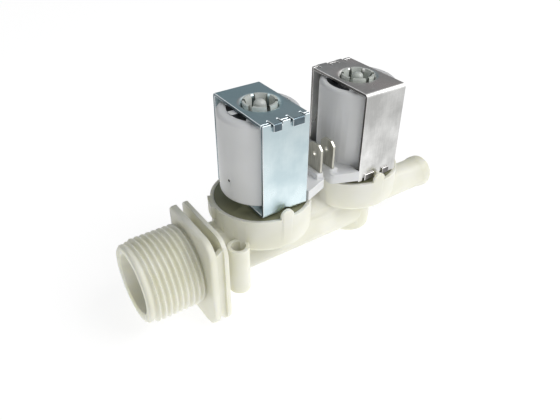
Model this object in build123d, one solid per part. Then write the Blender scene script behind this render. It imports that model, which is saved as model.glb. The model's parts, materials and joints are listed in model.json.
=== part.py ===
"""Dishwasher inlet solenoid valve: two pilot operated diaphragm valves in series on one moulded body.

Millimetres. X runs from the inlet's open end to the outlet and Z runs up through the two coils.
The origin is the centre of the inlet's open end face.
"""
from build123d import *
from math import radians, tan
import os

# Inlet with its outside pipe thread, size G 3/4
thread_major_r = 13.22
thread_pitch = 1.814
thread_depth = 1.16
flank_angle = 27.5
crest_land = 0.30
first_crest_x = 2.77
crest_count = 9
collar_r = 12.5
collar_length = 1.4
collar_chamfer = 0.6
inlet_bore_r = 9.6
inlet_bore_depth = 21.5
mouth_chamfer = 0.5

# Pair of panel flanges with a groove between them, closed at the front by a bridge
flange_start_x = 18.3
flange_thickness = 2.1
groove_width = 2.5
second_flange_thickness = 1.3
groove_floor_r = 12.0
flange_front_y = 16.4
flange_rear_y = 10.0
flange_half_height = 16.2
flange_corner_r = 5.5
flange_rear_corner = 1.2
flange_edge_round = 0.7
bridge_inset = 0.9
bridge_thickness = 1.6
bridge_half_height = 14.0
bridge_slope = 3.0

# Where the two valves stand on the run pipe
inlet_to_coil = 45.9
coil_pitch = 36.9

# Run pipe, sump and outlet
run_pipe_r = 9.5
run_pipe_round = 1.5
throat_r = 6.5
throat_length = 5.5
passage_r = 5.2
cross_bore_r = 4.5
dam_thickness = 2.5
sump_r = 7.7
sump_offset = 1.5
sump_bottom_z = -11.0
sump_round = 2.5
sump_well_z = -6.0
outlet_r = 5.7
outlet_bore_r = 3.9
outlet_z = -0.9
outlet_reach = 39.1
outlet_round = 2.0
bead_r = 6.1
bead_land = 2.1
bead_ramp = 1.2

# Diaphragm chambers
chamber_r = 16.2
chamber_top_z = 16.0
chamber_bottom_z = (4.5, 5.5)
chamber_round = 2.0
chamber_wall = 1.1
chamber_well_r = 12.4
chamber_floor_z = 7.0
ledge_z = 10.4
seat_top_z = 9.6
seat_outer_r = 5.6
seat_bore_r = 4.0
port_r = 2.6
port_gap = 0.4

# Screw post beside the first chamber, and the key on each chamber's rim
post_offset_x = -15.3
post_y = -11.0
post_r = 3.4
post_hole_r = 2.3
post_top_z = 8.5
post_bottom_z = -8.0
post_hole_floor = 1.5
key_radius = 2.2
key_height = 2.9
key_root = 1.0
key_offset_x = -0.7

# Lug on each chamber's rear side, below the rim
lug_stand = 0.9
lug_height = 4.3
lug_turn = 164
lug_half_angle = 12

# Small clearances
slip = 0.10
snug = 0.05
seal_gap = 0.15

# Diaphragm and its hard insert
bead_thickness = 1.75
web_thickness = 0.7
web_rise = 0.3
disc_r = 7.6
disc_thickness = 1.1
stem_r = 2.5
insert_plate_r = 7.4
insert_plate_thickness = 0.9
nozzle_r = 1.6
nozzle_height = 0.55
pilot_hole_r = 0.5
guide_r = 3.6
guide_height = 1.9
bleed_r = 0.4
bleed_radius = 6.6
diaphragm_lift = 2.2

# Cover with its guide tube and spring collet
cover_recess_r = 12.0
cover_boss_r = 7.2
guide_tube_r = 5.2
guide_bore_r = 4.15
guide_end_z = 41.5
guide_end_wall = 1.5
collet_wall = 1.2
collet_slots = 6
collet_slot_width = 1.2
collet_rim = 0.7
collet_taper = 1.2
collet_stand = 0.6
dome_r = 2.3
dome_tip_r = 1.7
dome_stand = 0.8
dome_round = 1.5

# Plunger, its seal and its return spring
plunger_lift = 3.3
seal_r = 2.2
seal_thickness = 1.6
seal_stand = 0.2
plunger_groove_width = 1.2
plunger_groove_depth = 0.5
spring_pocket_r = 2.35
spring_pocket_depth = 7.0
spring_r = 1.85
spring_wire_r = 0.22
spring_turns = 6

# Sheet steel yoke
sheet = 1.0
yoke_width = 15.8
yoke_depth = 27.2
yoke_bottom_z = 16.8
yoke_top_z = 47.3
bend_inner_r = 0.35
collar_inner_r = 5.45
collar_depth = 2.6
collar_lip_r = 1.5
tongue_starts = (3.2, 9.6)
tongue_widths = (2.8, 4.0)
tongue_slit = 0.45
slit_depth = 1.4
crimp_stand = 0.6
crimp_drop = 1.4
crimp_round = 0.5
notch_width = 4.3
notch_height = 1.5

# Overmoulded coil, a little off the guide tube's axis
coil_r = 12.4
coil_offset = 0.5
coil_round = 1.2
coil_skin = 1.3
coil_end_wall = 0.9
bobbin_bore_r = 6.6
bobbin_wall = 1.0
bobbin_flange = 1.2
winding_r = 10.5
rim_height = 0.9
rim_inner_r = 9.8
pad_height = 1.3
pad_root = 0.6
pad_width = 3.6
pad_depth = 2.1
pad_radius = 8.95
pad_turns = (45, 135, 225, 315)
slim_pad_width = 2.6
slim_pad_turn = 178
gate_mark_r = 0.4
gate_mark_depth = 0.3
gate_mark_z = 26.3
gate_mark_turn = 191

# Shoe that carries the tabs, with a ridge along its far side
shoe_reach = 17.2
shoe_half_width = 10.8
shoe_root_x = 8.2
shoe_root_half_width = 14.2
shoe_height = 3.4
shoe_round = 1.6
ridge_height = 5.25
ridge_width = 2.9
ridge_half_width = 10.3
ridge_round = 0.6

# Quick connect tabs
tab_width = 6.3
tab_thickness = 0.8
tab_reach = 16.05
tab_spacing = 13.5
tab_top_z = 32.2
tab_root_depth = 4.0
tab_clip = 1.5
tab_hole_r = 0.8
tab_hole_drop = 3.5

# Inlet strainer and flow regulator
strainer_recess = 9.0
strainer_ring_width = 1.4
strainer_ring_wall = 1.5
strainer_wall = 0.8
strainer_end_wall = 0.8
strainer_slots = 12
strainer_slot_width = 1.0
strainer_grip_width = 1.2
strainer_grip_length = 4.0
regulator_width = 3.9
regulator_r = 5.6
regulator_hole_r = 1.7
regulator_thickness = 2.6
holder_hole_r = 3.6

# Values worked out from the ones above
thread_root_r = thread_major_r - thread_depth
ridge_foot = crest_land / 2 + thread_depth * tan(radians(flank_angle))
groove_start_x = flange_start_x + flange_thickness
second_flange_x = groove_start_x + groove_width
flange_end_x = second_flange_x + second_flange_thickness
coil_x = (inlet_to_coil, inlet_to_coil + coil_pitch)
outlet_end_x = coil_x[1] + outlet_reach
bead_start_x = outlet_end_x - outlet_round - bead_land
cover_seat_r = chamber_r - chamber_wall
port_offset = seat_outer_r + port_gap + port_r + 0.8
cover_bottom_z = ledge_z + bead_thickness + snug
disc_bottom_z = seat_top_z + seal_gap
disc_top_z = disc_bottom_z + disc_thickness
plate_bottom_z = disc_top_z + snug
plate_top_z = plate_bottom_z + insert_plate_thickness
nozzle_top_z = plate_top_z + nozzle_height
cover_recess_z = plate_top_z + diaphragm_lift + 2 * snug
seal_bottom_z = nozzle_top_z + snug
plunger_bottom_z = seal_bottom_z + seal_stand
plunger_top_z = guide_end_z - plunger_lift - 2 * slip
plunger_r = guide_bore_r - slip
spring_bottom_z = plunger_top_z - spring_pocket_depth
yoke_middle_z = (yoke_bottom_z + yoke_top_z) / 2
collar_outer_r = collar_inner_r + sheet
pad_bottom_z = yoke_bottom_z + sheet + snug
pad_top_z = yoke_top_z - sheet - snug
coil_bottom_z = pad_bottom_z + pad_height
coil_top_z = pad_top_z - pad_height
bobbin_r = bobbin_bore_r + bobbin_wall
ridge_top_z = pad_bottom_z + ridge_height


def along_x(radius, start, end, y=0.0, z=0.0):
    """A round bar along X."""
    bar = Cylinder(radius, end - start, align=(Align.CENTER, Align.CENTER, Align.MIN))
    return Pos(start, y, z) * Rot(0, 90, 0) * bar


def upright(radius, bottom, top, x=0.0, y=0.0):
    """A round bar along Z."""
    bar = Cylinder(radius, top - bottom, align=(Align.CENTER, Align.CENTER, Align.MIN))
    return Pos(x, y, bottom) * bar


def block(low, high):
    """A box between two corners."""
    size = [b - a for a, b in zip(low, high)]
    return Pos(*low) * Box(*size, align=(Align.MIN, Align.MIN, Align.MIN))


def turned_about_x(points):
    """A solid of revolution about X from (x, radius) points."""
    return revolve(Plane.XZ * make_face(Polyline(*points, close=True)), Axis.X, 360)


def turned_about_z(points):
    """A solid of revolution about Z from (radius, z) points."""
    return revolve(Plane.XZ * make_face(Polyline(*points, close=True)), Axis.Z, 360)


def lowest_edges(solid):
    """The edges round the underside."""
    return solid.edges().group_by(Axis.Z)[0]


def highest_edges(solid):
    """The edges round the top."""
    return solid.edges().group_by(Axis.Z)[-1]


def inlet_outside():
    """The threaded inlet with its lead-in collar, as one turned form."""
    points = [
        (0, 0),
        (0, collar_r - collar_chamfer),
        (collar_chamfer, collar_r),
        (collar_length, collar_r),
        (collar_length + collar_r - thread_root_r, thread_root_r),
    ]
    for index in range(crest_count):
        crest = first_crest_x + index * thread_pitch
        points += [
            (crest - ridge_foot, thread_root_r),
            (crest - crest_land / 2, thread_major_r),
            (crest + crest_land / 2, thread_major_r),
            (crest + ridge_foot, thread_root_r),
        ]
    points += [(groove_start_x, thread_root_r), (groove_start_x, 0)]
    return turned_about_x(points)


def flange_plate(start, thickness):
    """One flange: square with well rounded front corners, cut back on its rear side."""
    front = -flange_front_y
    rear = flange_rear_y
    half = flange_half_height
    outline = Polyline(
        (front, half),
        (rear - flange_rear_corner, half),
        (rear, half - flange_rear_corner),
        (rear, -half + flange_rear_corner),
        (rear - flange_rear_corner, -half),
        (front, -half),
        close=True,
    )
    plate = Pos(start, 0, 0) * extrude(Plane.YZ * make_face(outline), thickness)
    front_corners = plate.edges().filter_by(Axis.X).group_by(Axis.Y)[0]
    return fillet(front_corners, flange_corner_r)


def first_flange():
    """The flange on the inlet's side, with its outer rim rounded."""
    plate = flange_plate(flange_start_x, flange_thickness)
    return fillet(plate.faces().sort_by(Axis.X)[0].edges(), flange_edge_round)


def groove_bridge():
    """The wall that closes the groove at its front side, sloped at both ends."""
    near = flange_start_x + flange_thickness / 2
    far = second_flange_x + second_flange_thickness / 2
    half = bridge_half_height
    outline = Polyline(
        (near, half - bridge_slope),
        (far, half),
        (far, -half),
        (near, -half + bridge_slope),
        close=True,
    )
    wall = extrude(Plane.XZ * make_face(outline), bridge_thickness)
    return Pos(0, bridge_inset - flange_front_y + bridge_thickness, 0) * wall


def chamber_outside(x, bottom):
    """The round outside of one diaphragm chamber."""
    drum = upright(chamber_r, bottom, chamber_top_z, x)
    return fillet(lowest_edges(drum), chamber_round)


def rim_key(x):
    """The rounded key on a chamber's rim that the yoke is set against."""
    left = x + key_offset_x - key_radius
    right = left + 2 * key_radius
    root = chamber_top_z - key_root
    shoulder = chamber_top_z + key_height - key_radius
    stem = block((left, -chamber_r, root), (right, -cover_seat_r, shoulder))
    head = Pos(left + key_radius, -cover_seat_r, shoulder) * Rot(90, 0, 0)
    head = head * Cylinder(key_radius, chamber_wall, align=(Align.CENTER, Align.CENTER, Align.MIN))
    return (stem + head) & upright(chamber_r, root, chamber_top_z + key_height, x)


def chamber_lug(x):
    """The low lug on a chamber's rear side."""
    outer = chamber_r + lug_stand
    band = upright(outer, chamber_top_z - lug_height, chamber_top_z) - upright(
        chamber_r - chamber_wall / 2, chamber_top_z - lug_height, chamber_top_z)
    reach = outer * tan(radians(lug_half_angle))
    wedge = Polyline((0, 0), (outer, reach), (outer + reach, 0), (outer, -reach), close=True)
    wedge = Pos(0, 0, chamber_top_z - lug_height) * extrude(make_face(wedge), lug_height)
    return Pos(x, 0, 0) * Rot(0, 0, lug_turn) * (band & wedge)


def screw_post():
    """The round post for a fixing screw, beside the first chamber."""
    return upright(post_r, post_bottom_z, post_top_z, coil_x[0] + post_offset_x, post_y)


def outlet_outside():
    """The plain hose spigot with a low bead at its rounded end."""
    spigot = turned_about_x([
        (coil_x[1], 0),
        (coil_x[1], outlet_r),
        (bead_start_x - bead_ramp, outlet_r),
        (bead_start_x, bead_r),
        (outlet_end_x, bead_r),
        (outlet_end_x, 0),
    ])
    spigot = fillet(spigot.edges().group_by(Axis.X)[-1], outlet_round)
    return Pos(0, 0, outlet_z) * spigot


def sump_outside():
    """The rounded drum under the second chamber, where the flow turns into the outlet."""
    drum = upright(sump_r, sump_bottom_z, chamber_floor_z, coil_x[1] + sump_offset)
    return fillet(lowest_edges(drum), sump_round)


def run_pipe_outside():
    """The pipe that carries both chambers."""
    pipe = along_x(run_pipe_r, second_flange_x, coil_x[1])
    return fillet(pipe.edges().group_by(Axis.X)[-1], run_pipe_round)


def chamber_hollow(x):
    """The wet space of one chamber, round its raised seat, with the feed port and the seat's bore."""
    recess = upright(cover_seat_r, ledge_z, chamber_top_z + 2, x)
    well = upright(chamber_well_r, chamber_floor_z, ledge_z, x)
    seat = upright(seat_outer_r, chamber_floor_z, seat_top_z, x)
    port = upright(port_r, 0, chamber_floor_z, x - port_offset)
    return recess + (well - seat) + port


def valve_body():
    """The whole moulded body."""
    first, second = coil_x
    body = inlet_outside() + [
        along_x(groove_floor_r, groove_start_x, flange_end_x),
        first_flange(),
        flange_plate(second_flange_x, second_flange_thickness),
        groove_bridge(),
        run_pipe_outside(),
        chamber_outside(first, chamber_bottom_z[0]),
        chamber_outside(second, chamber_bottom_z[1]),
        chamber_lug(first),
        chamber_lug(second),
        sump_outside(),
        outlet_outside(),
        screw_post(),
    ]
    dam_start = first - seat_bore_r - dam_thickness
    mouth = turned_about_x([
        (-1, 0),
        (-1, inlet_bore_r + mouth_chamfer + 1),
        (mouth_chamfer, inlet_bore_r),
        (inlet_bore_depth, inlet_bore_r),
        (inlet_bore_depth, throat_r),
        (inlet_bore_depth + throat_length, throat_r),
        (inlet_bore_depth + throat_length, passage_r),
        (dam_start, passage_r),
        (dam_start, 0),
    ])
    post_x = first + post_offset_x
    hollows = [
        mouth,
        chamber_hollow(first),
        chamber_hollow(second),
        upright(seat_bore_r, 0, seat_top_z + 1, first),
        along_x(cross_bore_r, first - seat_bore_r, second - seat_bore_r - dam_thickness),
        upright(seat_bore_r, sump_well_z, seat_top_z + 1, second),
        along_x(outlet_bore_r, second, outlet_end_x + 1, 0, outlet_z),
        upright(post_hole_r, post_bottom_z + post_hole_floor, post_top_z + 1, post_x, post_y),
    ]
    body = body - hollows
    return body + [rim_key(first), rim_key(second)]


def inlet_strainer():
    """The basket strainer that is pushed into the inlet, with its pull grip."""
    ring_r = inlet_bore_r - slip
    basket_r = ring_r - strainer_ring_wall
    start = strainer_recess
    end = inlet_bore_depth - regulator_width - snug
    basket = turned_about_x([
        (start, basket_r - strainer_wall),
        (start, ring_r),
        (start + strainer_ring_width, ring_r),
        (start + strainer_ring_width, basket_r),
        (end, basket_r),
        (end, 0),
        (end - strainer_end_wall, 0),
        (end - strainer_end_wall, basket_r - strainer_wall),
    ])
    slot_start = start + strainer_ring_width + strainer_end_wall
    slot_end = end - 2 * strainer_end_wall
    half = strainer_slot_width / 2
    slot = block((slot_start, -half, 0), (slot_end, half, ring_r))
    basket = basket - [Rot(index * 360 / strainer_slots, 0, 0) * slot for index in range(strainer_slots)]
    grip_end = end - strainer_end_wall
    half = strainer_grip_width / 2
    return basket + block((grip_end - strainer_grip_length, -half, -2), (grip_end + half, half, 2))


def regulator_holder():
    """The ring that holds the flow regulator at the bottom of the inlet."""
    end = inlet_bore_depth - snug
    start = end - regulator_width + snug
    pocket_r = regulator_r + slip
    return turned_about_x([
        (start, pocket_r),
        (start, inlet_bore_r - slip),
        (end, inlet_bore_r - slip),
        (end, holder_hole_r),
        (start + regulator_thickness + snug, holder_hole_r),
        (start + regulator_thickness + snug, pocket_r),
    ])


def flow_regulator():
    """The rubber washer whose hole narrows as the pressure rises."""
    start = inlet_bore_depth - regulator_width
    bevel = regulator_thickness / 3
    return turned_about_x([
        (start, regulator_hole_r + bevel),
        (start, regulator_r - bevel / 2),
        (start + bevel / 2, regulator_r),
        (start + regulator_thickness, regulator_r),
        (start + regulator_thickness, regulator_hole_r),
        (start + bevel, regulator_hole_r),
    ])


def guide_tube_cover(x):
    """The chamber's cover, with the closed guide tube and the collet that holds the yoke."""
    bottom = cover_bottom_z
    top = guide_end_z + guide_end_wall
    collet_top_z = yoke_top_z + collet_stand
    cover = turned_about_z([
        (cover_recess_r, bottom),
        (cover_seat_r - slip, bottom),
        (cover_seat_r - slip, chamber_top_z),
        (cover_boss_r, chamber_top_z),
        (cover_boss_r, yoke_bottom_z),
        (guide_tube_r, yoke_bottom_z),
        (guide_tube_r, collet_top_z),
        (guide_tube_r - collet_rim, collet_top_z),
        (guide_tube_r - collet_wall, collet_top_z - collet_taper),
        (guide_tube_r - collet_wall, top),
        (dome_r, top),
        (dome_tip_r, yoke_top_z + dome_stand),
        (0, yoke_top_z + dome_stand),
        (0, guide_end_z),
        (guide_bore_r, guide_end_z),
        (guide_bore_r, cover_recess_z),
        (cover_recess_r, cover_recess_z),
    ])
    cover = fillet(highest_edges(cover), dome_round)
    half = collet_slot_width / 2
    slot = block((guide_tube_r - collet_wall - snug, -half, top), (guide_tube_r + 1, half, collet_top_z + 1))
    slots = [Rot(0, 0, (index + 0.5) * 360 / collet_slots + 55) * slot for index in range(collet_slots)]
    return Pos(x, 0, 0) * (cover - slots)


def diaphragm(x):
    """The rubber diaphragm: a bead held under the cover, a thin web and a thick seat disc."""
    web_bottom = disc_bottom_z + web_rise
    web_end_r = chamber_well_r - slip
    bulge_r = (disc_r + chamber_well_r) / 2
    disc = turned_about_z([
        (stem_r + slip, disc_bottom_z),
        (disc_r, disc_bottom_z),
        (disc_r + web_rise, web_bottom),
        (bulge_r, web_bottom + web_rise),
        (web_end_r, web_bottom),
        (web_end_r, ledge_z + snug),
        (cover_seat_r - 2 * slip, ledge_z + snug),
        (cover_seat_r - 2 * slip, ledge_z + bead_thickness),
        (web_end_r, ledge_z + bead_thickness),
        (web_end_r - web_rise, web_bottom + web_thickness),
        (bulge_r, web_bottom + web_thickness + web_rise),
        (disc_r + web_rise, disc_top_z),
        (stem_r + slip, disc_top_z),
    ])
    bleed = upright(bleed_r, disc_bottom_z - 1, disc_top_z + 1, bleed_radius)
    return Pos(x, 0, 0) * (disc - bleed)


def diaphragm_insert(x):
    """The hard core of the diaphragm, with the pilot nozzle, the bleed hole and the seat guide."""
    guide_top = disc_bottom_z - snug
    core = turned_about_z([
        (pilot_hole_r, guide_top - guide_height),
        (guide_r - slip, guide_top - guide_height),
        (guide_r, guide_top - guide_height + slip),
        (guide_r, guide_top),
        (stem_r, guide_top),
        (stem_r, plate_bottom_z),
        (insert_plate_r, plate_bottom_z),
        (insert_plate_r, plate_top_z),
        (nozzle_r, plate_top_z),
        (nozzle_r - 0.4, nozzle_top_z),
        (pilot_hole_r, nozzle_top_z),
    ])
    bleed = upright(bleed_r, plate_bottom_z - 1, plate_top_z + 1, bleed_radius)
    return Pos(x, 0, 0) * (core - bleed)


def plunger(x):
    """The magnetic plunger: grooved sides, a seal pocket below and a spring pocket above."""
    rod = upright(plunger_r, plunger_bottom_z, plunger_top_z)
    rod = chamfer(highest_edges(rod) + lowest_edges(rod), 0.4)
    rod = rod - upright(seal_r + snug, plunger_bottom_z - 1, seal_bottom_z + seal_thickness + snug)
    rod = rod - upright(spring_pocket_r, spring_bottom_z, plunger_top_z + 1)
    half = plunger_groove_width / 2
    depth = plunger_r - plunger_groove_depth
    for turn in (45, 225):
        groove = block((depth, -half, plunger_bottom_z - 1), (plunger_r + 1, half, plunger_top_z + 1))
        rod = rod - Rot(0, 0, turn) * groove
    return Pos(x, 0, 0) * rod


def plunger_seal(x):
    """The rubber pad that closes the pilot nozzle."""
    pad = upright(seal_r, seal_bottom_z, seal_bottom_z + seal_thickness, x)
    return chamfer(lowest_edges(pad), 0.2)


def plunger_spring(x):
    """The open coil spring between the plunger's pocket and the tube's closed end."""
    low = spring_bottom_z + spring_wire_r + snug
    high = guide_end_z - spring_wire_r - snug
    path = Helix((high - low) / spring_turns, high - low, spring_r)
    section = Plane(path @ 0, z_dir=path % 0) * Circle(spring_wire_r)
    return Pos(x, 0, low) * sweep(section, path, is_frenet=True)


def yoke_half():
    """One bent half of a yoke: the plate with the drawn hole, the bend and the leg.

    The plate is on top and the leg stands at the rear. Two tongues on the plate's free edge
    lock into two notches in the other half's leg and are bent down over it.
    """
    half_x = yoke_width / 2
    half_y = yoke_depth / 2
    outer_r = bend_inner_r + sheet
    top = yoke_top_z
    bottom = yoke_bottom_z
    inner = top - sheet
    plate = block((-half_x, -half_y + sheet + snug, inner), (half_x, half_y - outer_r, top))
    leg = block((-half_x, half_y - sheet, bottom), (half_x, half_y, top - outer_r))
    corner = Rot(0, 90, 0) * (Cylinder(outer_r, yoke_width) - Cylinder(bend_inner_r, yoke_width))
    corner = Pos(0, half_y - outer_r, top - outer_r) * corner
    corner = corner & block((-half_x, half_y - outer_r, top - outer_r), (half_x, half_y, top))
    half = plate + leg + corner
    tip_y = -half_y - crimp_stand
    slit_y = -half_y + sheet + slit_depth
    for start, width in zip(tongue_starts, tongue_widths):
        left = -half_x + start
        right = left + width
        tongue = block((left, tip_y, inner), (right, slit_y, top))
        tongue = tongue + block((left, tip_y, inner - crimp_drop), (right, -half_y - snug, inner))
        brow = tongue.edges().filter_by(Axis.X).group_by(Axis.Y)[0].sort_by(Axis.Z)[-1]
        tongue = fillet(brow, crimp_round)
        slits = block((left - tongue_slit, -half_y, inner - 1), (right + tongue_slit, slit_y, top + 1))
        half = half - slits + tongue
        notch = block(
            (left - tongue_slit, half_y - 2 * sheet, bottom - 1),
            (right + tongue_slit, half_y + 1, bottom + sheet + snug),
        )
        half = half - notch
    collar = turned_about_z([
        (collar_inner_r, inner - collar_depth),
        (collar_outer_r, inner - collar_depth),
        (collar_outer_r, inner + sheet / 2),
        (collar_inner_r, inner + sheet / 2),
    ])
    half = half + collar - upright(collar_inner_r, inner - collar_depth - 1, top + 1)
    lip = half.edges().filter_by(GeomType.CIRCLE).group_by(Axis.Z)[-1]
    return fillet(lip, collar_lip_r)


def yoke_pair(x, turn):
    """Both halves of a yoke. The lower half is the upper one turned over, with a keyway in its bend."""
    place = Pos(x, 0, 0) * Rot(0, 0, turn)
    upper = yoke_half()
    over = Pos(0, 0, yoke_middle_z) * Rot(180, 0, 0) * Pos(0, 0, -yoke_middle_z)
    lower = over * yoke_half()
    half = notch_width / 2
    front = yoke_depth / 2
    arch_z = yoke_bottom_z + notch_height - half
    keyway = Pos(0, -front, arch_z) * Rot(90, 0, 0) * Cylinder(half, 4 * sheet)
    keyway = keyway & block((-half, -front - 2 * sheet, yoke_bottom_z - 1), (half, -front + 2 * sheet, yoke_top_z))
    return place * upper, place * (lower - keyway)


def coil_cover(x, side):
    """The overmoulding round the winding, with a rim, its end pads and the terminal shoe."""
    drum = upright(coil_r, coil_bottom_z, coil_top_z + rim_height, -coil_offset)
    drum = fillet(highest_edges(drum) + lowest_edges(drum), coil_round)
    drum = drum - upright(rim_inner_r, coil_top_z, pad_top_z)
    pads = []
    for low, high in ((pad_bottom_z, coil_bottom_z + pad_root), (coil_top_z - pad_root, pad_top_z)):
        pads += [end_pad(turn, pad_width, low, high) for turn in pad_turns]
        pads.append(end_pad(slim_pad_turn, slim_pad_width, low, high))
    cover = drum + terminal_shoe() + pads
    hollow = upright(bobbin_r + snug, pad_bottom_z - 1, yoke_top_z)
    room = upright(coil_r - coil_skin, coil_bottom_z + coil_end_wall, coil_top_z - coil_end_wall)
    gate_mark = along_x(gate_mark_r, coil_r - gate_mark_depth, coil_r + 1)
    gate_mark = Pos(-coil_offset, 0, gate_mark_z) * Rot(0, 0, gate_mark_turn) * gate_mark
    slots = [tab_block(y, snug) for y in (-tab_spacing / 2, tab_spacing / 2)]
    cover = cover - [hollow, room, gate_mark] - slots
    return Pos(x, 0, 0) * Rot(0, 0, 0 if side > 0 else 180) * cover


def end_pad(turn, width, low, high):
    """One of the pads that hold the coil off the yoke's plates."""
    pad = block((-pad_depth / 2, -width / 2, low), (pad_depth / 2, width / 2, high))
    return Rot(0, 0, turn) * Pos(pad_radius, 0, 0) * pad


def terminal_shoe():
    """The shoe beside the yoke, which narrows outwards and has a rounded ridge round the tabs."""
    outline = Polyline(
        (shoe_root_x, shoe_root_half_width),
        (shoe_reach, shoe_half_width),
        (shoe_reach, -shoe_half_width),
        (shoe_root_x, -shoe_root_half_width),
        close=True,
    )
    shoe = Pos(0, 0, pad_bottom_z) * extrude(make_face(outline), shoe_height)
    far_edges = shoe.edges().filter_by(Axis.Z).group_by(Axis.X)[-1]
    shoe = fillet(far_edges, shoe_round)
    ridge_start = shoe_reach - ridge_width
    ridge = block((ridge_start, -ridge_half_width, pad_bottom_z), (shoe_reach, ridge_half_width, ridge_top_z))
    ridge = fillet(ridge.edges().filter_by(Axis.Z).group_by(Axis.X)[-1], shoe_round - ridge_round)
    return shoe + fillet(highest_edges(ridge), ridge_round)


def tab_block(y, clearance=0.0):
    """The flat blank of one tab, or with a clearance the slot that it stands in."""
    half = tab_width / 2 + clearance
    thick = tab_thickness / 2 + clearance
    root = ridge_top_z - tab_root_depth - clearance
    return block((tab_reach - thick, y - half, root), (tab_reach + thick, y + half, tab_top_z))


def terminal_tab(x, side, y):
    """A quick connect tab with clipped corners and its locating hole."""
    blank = tab_block(y)
    top_ends = blank.edges().filter_by(Axis.X).group_by(Axis.Z)[-1]
    tab = chamfer(top_ends, tab_clip)
    hole = along_x(tab_hole_r, tab_reach - 1, tab_reach + 1, y, tab_top_z - tab_hole_drop)
    return Pos(x, 0, 0) * Rot(0, 0, 0 if side > 0 else 180) * (tab - hole)


def coil_bobbin(x):
    """The spool that the wire is wound on."""
    low = coil_bottom_z + coil_end_wall + snug
    high = coil_top_z - coil_end_wall - snug
    flange_r = coil_r - coil_skin - snug
    return Pos(x, 0, 0) * turned_about_z([
        (bobbin_bore_r, coil_bottom_z),
        (bobbin_r, coil_bottom_z),
        (bobbin_r, low),
        (flange_r, low),
        (flange_r, low + bobbin_flange),
        (bobbin_r, low + bobbin_flange),
        (bobbin_r, high - bobbin_flange),
        (flange_r, high - bobbin_flange),
        (flange_r, high),
        (bobbin_r, high),
        (bobbin_r, coil_top_z),
        (bobbin_bore_r, coil_top_z),
    ])


def coil_winding(x):
    """The copper winding, as one closed ring."""
    low = coil_bottom_z + coil_end_wall + bobbin_flange + 2 * snug
    high = coil_top_z - coil_end_wall - bobbin_flange - 2 * snug
    inner = bobbin_r + snug
    return Pos(x, 0, 0) * turned_about_z([(inner, low), (winding_r, low), (winding_r, high), (inner, high)])


def build():
    """Every piece by its name."""
    pieces = {
        "valve_body": valve_body(),
        "inlet_strainer": inlet_strainer(),
        "regulator_holder": regulator_holder(),
        "flow_regulator": flow_regulator(),
    }
    # The second coil and yoke are the first ones turned half round, so the tabs face each other
    for number, x, side, turn in ((1, coil_x[0], 1, 0), (2, coil_x[1], -1, 180)):
        upper, lower = yoke_pair(x, turn)
        pieces.update({
            f"guide_tube_cover_{number}": guide_tube_cover(x),
            f"diaphragm_{number}": diaphragm(x),
            f"diaphragm_insert_{number}": diaphragm_insert(x),
            f"plunger_{number}": plunger(x),
            f"plunger_seal_{number}": plunger_seal(x),
            f"plunger_spring_{number}": plunger_spring(x),
            f"coil_cover_{number}": coil_cover(x, side),
            f"coil_bobbin_{number}": coil_bobbin(x),
            f"coil_winding_{number}": coil_winding(x),
            f"terminal_tab_front_{number}": terminal_tab(x, side, -side * tab_spacing / 2),
            f"terminal_tab_rear_{number}": terminal_tab(x, side, side * tab_spacing / 2),
            f"yoke_upper_{number}": upper,
            f"yoke_lower_{number}": lower,
        })
    return pieces


os.makedirs("parts", exist_ok=True)
for name, piece in build().items():
    export_step(piece, f"parts/{name}.step")
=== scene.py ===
"""Looks of the dishwasher inlet solenoid valve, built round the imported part.

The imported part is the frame: every size here is in metres in that frame, taken from it or named below.
The script is laid out as an add-on with one operator for each group of pieces, and is run as a script.
"""
import json
import math

import bmesh
import bpy
import numpy as np
from mathutils import Matrix, Vector


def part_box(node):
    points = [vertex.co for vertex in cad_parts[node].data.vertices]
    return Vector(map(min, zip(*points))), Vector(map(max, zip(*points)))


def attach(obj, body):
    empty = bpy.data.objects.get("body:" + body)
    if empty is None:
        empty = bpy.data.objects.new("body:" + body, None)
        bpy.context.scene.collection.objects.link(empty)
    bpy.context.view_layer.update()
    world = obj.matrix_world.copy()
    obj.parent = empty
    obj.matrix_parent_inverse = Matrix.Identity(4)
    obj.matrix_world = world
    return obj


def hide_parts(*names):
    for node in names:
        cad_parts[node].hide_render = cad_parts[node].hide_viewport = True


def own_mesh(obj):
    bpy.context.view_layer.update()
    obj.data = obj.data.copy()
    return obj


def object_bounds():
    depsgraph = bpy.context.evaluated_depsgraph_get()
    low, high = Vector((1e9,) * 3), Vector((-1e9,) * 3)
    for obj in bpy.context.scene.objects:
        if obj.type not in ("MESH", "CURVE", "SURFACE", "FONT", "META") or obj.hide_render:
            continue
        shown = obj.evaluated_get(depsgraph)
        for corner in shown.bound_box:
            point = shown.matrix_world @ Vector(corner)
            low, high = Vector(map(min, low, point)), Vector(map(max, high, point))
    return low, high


bl_info = {
    "name": "Solenoid valve looks",
    "version": (1, 0, 0),
    "blender": (4, 5, 0),
    "location": "View3D > Sidebar > Valve",
    "description": "Dresses the packed solenoid valve with its moulded, plated and wound finishes",
    "category": "Object",
}

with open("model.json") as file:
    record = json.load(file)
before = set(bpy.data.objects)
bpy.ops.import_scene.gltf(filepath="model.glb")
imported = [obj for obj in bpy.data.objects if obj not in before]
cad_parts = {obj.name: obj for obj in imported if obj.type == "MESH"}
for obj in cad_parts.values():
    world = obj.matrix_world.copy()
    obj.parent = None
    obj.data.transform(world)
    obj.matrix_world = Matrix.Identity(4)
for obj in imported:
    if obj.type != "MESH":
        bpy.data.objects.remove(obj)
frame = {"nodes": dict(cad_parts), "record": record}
CAD_LOW, CAD_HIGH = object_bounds()
NODES = frame["nodes"]
SLOTS = {entry["node"]: entry["material_slot"] for entry in frame["record"]["subparts"]}
MM = 0.001
HOUSING = "valve"
VALVES = (1, 2)

# Where each coil's axis stands, taken from its winding
COIL_X = {n: sum(corner.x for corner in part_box(f"coil_winding_{n}")) / 2 for n in VALVES}

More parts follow.
